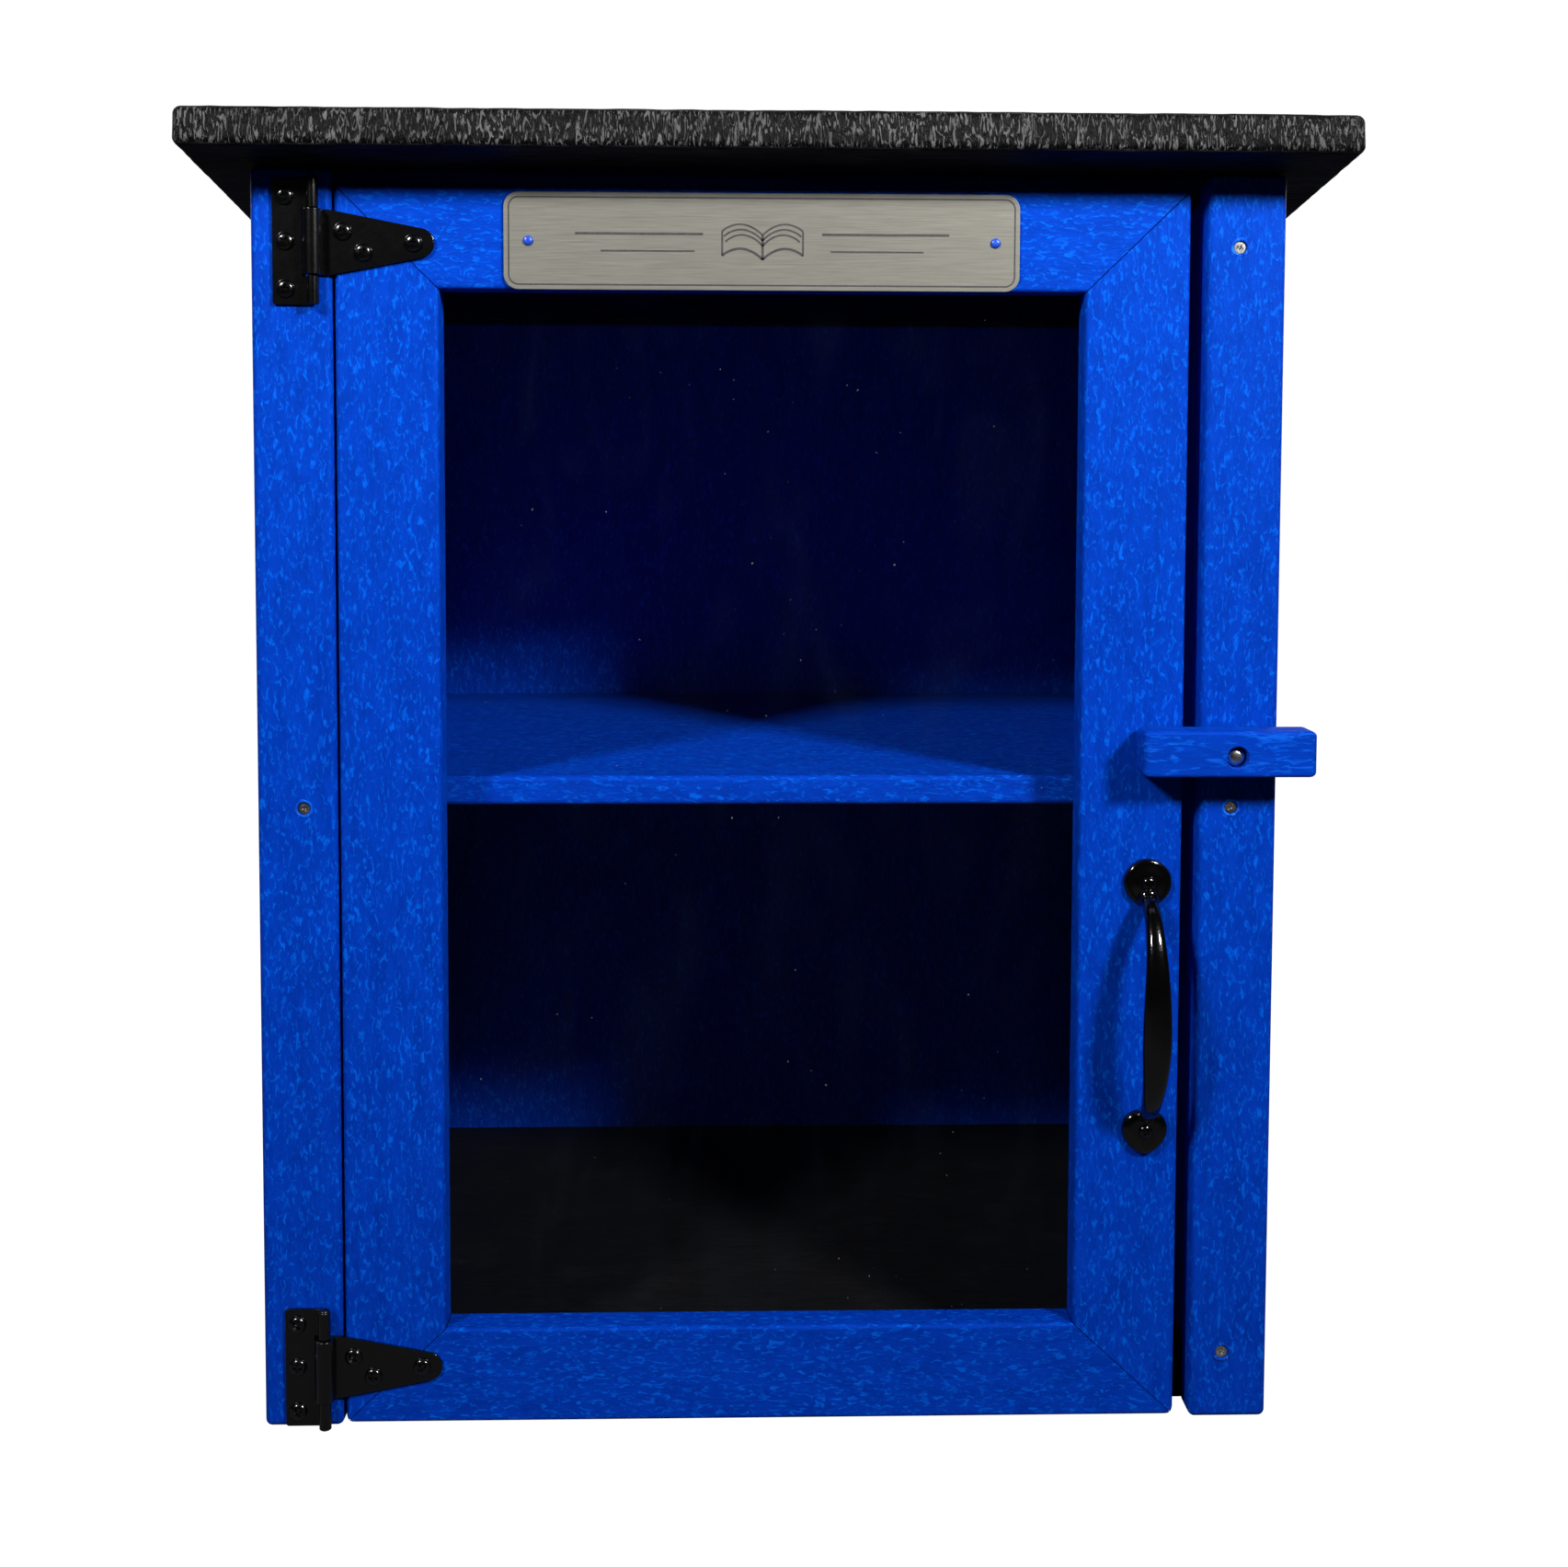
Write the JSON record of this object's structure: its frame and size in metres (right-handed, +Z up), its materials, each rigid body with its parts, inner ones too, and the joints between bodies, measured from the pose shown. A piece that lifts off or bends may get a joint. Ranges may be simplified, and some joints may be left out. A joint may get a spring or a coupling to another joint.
{
  "type": "book exchange cabinet",
  "caption": "Weatherproof cabinet of plastic boards with a shelf, a sloping roof and a framed window door on T-hinges, shut by a turn button, for leaving and taking books.",
  "frame": {"origin": "on the ground, under the centre of the bounding box (the roof's footprint)", "axes": "+Z up, -Y the side with the door, +X to the right of someone facing the door"},
  "size_m": [0.543, 0.448, 0.629],
  "materials": {
    "blue_board": "streaky blue recycled polyethylene lumber, satin with a fine fibre grain along each board",
    "black_board": "black polyethylene lumber with a pressed wavy wood grain",
    "clear_sheet": "clear acrylic sheet, polished",
    "black_enamel": "black enamel on pressed steel, semi-gloss",
    "handle_metal": "black powder coat on cast metal, semi-gloss",
    "stainless": "stainless steel screws, lightly weathered",
    "plate_metal": "satin champagne anodised plate",
    "blue_cap": "blue painted screw heads"
  },
  "bodies": {
    "cabinet": {"back_panel": "blue_board", "floor_board": "black_board", "latch_screw": "stainless", "latch_washer": "stainless", "left_front_post": "blue_board", "left_post_screw": "stainless", "left_side_panel": "blue_board", "lower_hinge_leaf": "black_enamel", "lower_hinge_pin": "black_enamel", "lower_leaf_screw_1": "black_enamel", "lower_leaf_screw_2": "black_enamel", "lower_leaf_screw_3": "black_enamel", "right_front_post": "blue_board", "right_post_screw_high": "stainless", "right_post_screw_low": "stainless", "right_post_screw_middle": "stainless", "right_side_panel": "blue_board", "roof_board": "black_board", "roof_screw_left_front": "stainless", "roof_screw_left_middle": "stainless", "roof_screw_left_rear": "stainless", "roof_screw_right_front": "stainless", "roof_screw_right_middle": "stainless", "roof_screw_right_rear": "stainless", "shelf_board": "blue_board", "upper_hinge_leaf": "black_enamel", "upper_hinge_pin": "black_enamel", "upper_leaf_screw_1": "black_enamel", "upper_leaf_screw_2": "black_enamel", "upper_leaf_screw_3": "black_enamel"},
    "door": {"door_bottom_rail": "blue_board", "door_left_stile": "blue_board", "door_right_stile": "blue_board", "door_top_rail": "blue_board", "handle_screw_lower": "handle_metal", "handle_screw_upper": "handle_metal", "lower_hinge_strap": "black_enamel", "lower_strap_screw_1": "black_enamel", "lower_strap_screw_2": "black_enamel", "lower_strap_screw_3": "black_enamel", "nameplate": "plate_metal", "nameplate_fastener_left": "blue_cap", "nameplate_fastener_right": "blue_cap", "pane_screw_left_high": "stainless", "pane_screw_left_low": "stainless", "pane_screw_left_middle": "stainless", "pane_screw_right_high": "stainless", "pane_screw_right_low": "stainless", "pane_screw_right_middle": "stainless", "pull_handle": "handle_metal", "upper_hinge_strap": "black_enamel", "upper_strap_screw_1": "black_enamel", "upper_strap_screw_2": "black_enamel", "upper_strap_screw_3": "black_enamel", "window_pane": "clear_sheet"},
    "latch": {"latch_block": "blue_board"}
  },
  "joints": [
    {"name": "door_swing", "type": "hinge", "parent": "cabinet", "child": "door", "pos_m": [-0.21425, -0.19475, 0.3], "axis": [0, 0, -1], "range_deg": [0, 170]},
    {"name": "latch_turn", "type": "hinge", "parent": "cabinet", "child": "latch", "pos_m": [0.22, -0.2, 0.33], "axis": [0, -1, 0], "continuous": true}
  ]
}
